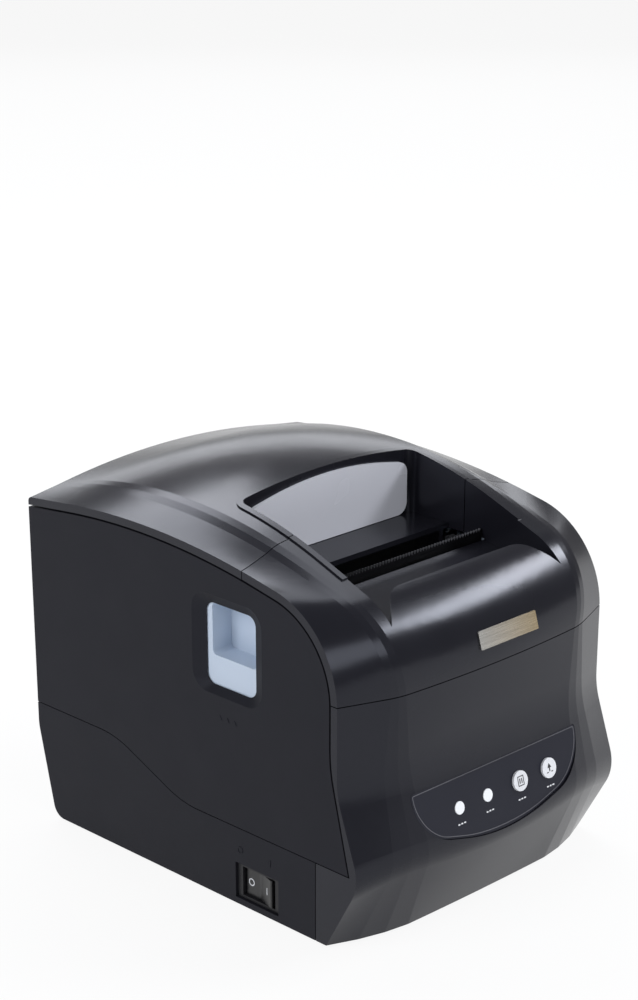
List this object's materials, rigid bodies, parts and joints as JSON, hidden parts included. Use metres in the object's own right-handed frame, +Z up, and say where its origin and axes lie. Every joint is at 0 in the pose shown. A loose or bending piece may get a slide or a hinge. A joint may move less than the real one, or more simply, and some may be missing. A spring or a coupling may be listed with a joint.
{
  "type": "thermal label printer",
  "caption": "Black desktop thermal label printer with a hinged lid over the roll bay, side latches, a front control panel, a driven platen under a sprung printhead and paired roll guides.",
  "frame": {"origin": "middle of the footprint at the underside of the rubber feet", "axes": "+Z up, the front with the control panel faces -Y, +X to the right as seen from the front"},
  "size_m": [0.148, 0.1912, 0.1574],
  "materials": {
    "gloss_black": "high gloss moulded",
    "matt_black": "fine spark-eroded texture",
    "window_grey": "translucent smoke grey, polished",
    "badge_metal": "bright satin, bare",
    "overlay_grey": "fine matt film",
    "lens_white": "translucent white",
    "button_white": "satin",
    "board_green": "solder mask",
    "foot_rubber": "matt",
    "steel": "bright",
    "zinc_steel": "zinc plated",
    "gear_white": "acetal, satin",
    "gear_grey": "acetal, satin",
    "dark_steel": "blackened",
    "gear_brass": "machined",
    "platen_rubber": "ground, matt",
    "sink_aluminium": "extruded, satin",
    "head_ceramic": "glazed",
    "latch_grey": "satin blue-grey",
    "inner_black": "satin moulded",
    "rocker_black": "satin gloss"
  },
  "bodies": {
    "case_body": {"front_bezel": "gloss_black", "front_panel": "gloss_black", "badge_plate": "badge_metal", "control_overlay": "overlay_grey", "online_lens": "lens_white", "error_lens": "lens_white", "panel_board": "board_green", "side_housing": "matt_black", "hinge_pins": "steel", "bottom_case": "matt_black", "rubber_feet": "foot_rubber", "chassis": "zinc_steel", "chassis_screws": "steel", "idler_stud": "steel", "feed_motor": "zinc_steel", "head_pivot_pin": "steel", "tear_bar": "dark_steel", "roll_tray": "inner_black", "guide_pin": "steel", "main_board": "board_green", "power_inlet": "inner_black", "data_port": "zinc_steel", "switch_body": "inner_black"},
    "lid_body": {"lid": "gloss_black", "lid_window": "window_grey", "platen_bushes": "gear_grey"},
    "platen_body": {"platen_roller": "platen_rubber", "platen_shaft": "steel", "platen_gear": "gear_grey"},
    "idler_body": {"idler_gear": "gear_grey"},
    "pinion_body": {"motor_pinion": "gear_brass"},
    "head_body": {"heat_sink": "sink_aluminium", "printhead": "head_ceramic"},
    "latch_body": {"latch_shaft": "steel", "latch_button_left": "latch_grey", "latch_button_right": "latch_grey", "latch_hook_left": "zinc_steel", "latch_hook_right": "zinc_steel"},
    "guide_left_body": {"roll_guide_left": "inner_black"},
    "guide_right_body": {"roll_guide_right": "inner_black"},
    "guide_wheel_body": {"guide_pinion": "gear_white"},
    "pause_body": {"pause_button": "button_white"},
    "feed_body": {"feed_button": "button_white"},
    "rocker_body": {"power_rocker": "rocker_black"}
  },
  "joints": [
    {"name": "lid_hinge", "type": "hinge", "parent": "case_body", "child": "lid_body", "pos_m": [0, 0.0915, 0.1245], "axis": [-1, 0, 0], "range_deg": [0, 92]},
    {"name": "platen_spin", "type": "hinge", "parent": "lid_body", "child": "platen_body", "pos_m": [0, -0.0255, 0.112], "axis": [1, 0, 0], "continuous": true},
    {"name": "idler_spin", "type": "hinge", "parent": "case_body", "child": "idler_body", "pos_m": [0, -0.0255, 0.0928], "axis": [1, 0, 0], "continuous": true},
    {"name": "pinion_spin", "type": "hinge", "parent": "case_body", "child": "pinion_body", "pos_m": [0, -0.01673, 0.08138], "axis": [1, 0, 0], "continuous": true},
    {"name": "head_tilt", "type": "hinge", "parent": "case_body", "child": "head_body", "pos_m": [0, -0.0375, 0.088], "axis": [1, 0, 0], "range_deg": [0, 3], "stiffness_Nm_per_rad": 2, "springref_deg": -5.73},
    {"name": "latch_turn", "type": "hinge", "parent": "case_body", "child": "latch_body", "pos_m": [0, -0.019, 0.062], "axis": [1, 0, 0], "range_deg": [0, 8], "stiffness_Nm_per_rad": 1, "springref_deg": -11.46},
    {"name": "guide_left_slide", "type": "slide", "parent": "case_body", "child": "guide_left_body", "axis": [1, 0, 0], "range_m": [0, 0.028]},
    {"name": "guide_right_slide", "type": "slide", "parent": "case_body", "child": "guide_right_body", "axis": [-1, 0, 0], "range_m": [0, 0.028]},
    {"name": "guide_wheel_spin", "type": "hinge", "parent": "case_body", "child": "guide_wheel_body", "pos_m": [0, 0.0365, 0.0099], "axis": [0, 0, 1], "range_deg": [0, 161]},
    {"name": "pause_press", "type": "slide", "parent": "case_body", "child": "pause_body", "axis": [0, 0.9659, -0.2588], "range_m": [0, 0.0008], "stiffness_N_per_m": 900, "springref_m": -0.0006},
    {"name": "feed_press", "type": "slide", "parent": "case_body", "child": "feed_body", "axis": [0, 0.9659, -0.2588], "range_m": [0, 0.0008], "stiffness_N_per_m": 900, "springref_m": -0.0006},
    {"name": "rocker_tip", "type": "hinge", "parent": "case_body", "child": "rocker_body", "pos_m": [-0.0684, -0.0341, 0.0111], "axis": [0, 0, 1], "range_deg": [0, 16]}
  ],
  "couplings": [
    {"joint": "idler_spin", "follows": "platen_spin", "ratio": -1},
    {"joint": "pinion_spin", "follows": "platen_spin", "ratio": 2},
    {"joint": "guide_right_slide", "follows": "guide_left_slide", "ratio": 1},
    {"joint": "guide_wheel_spin", "follows": "guide_left_slide", "rad_per_m": 100}
  ]
}
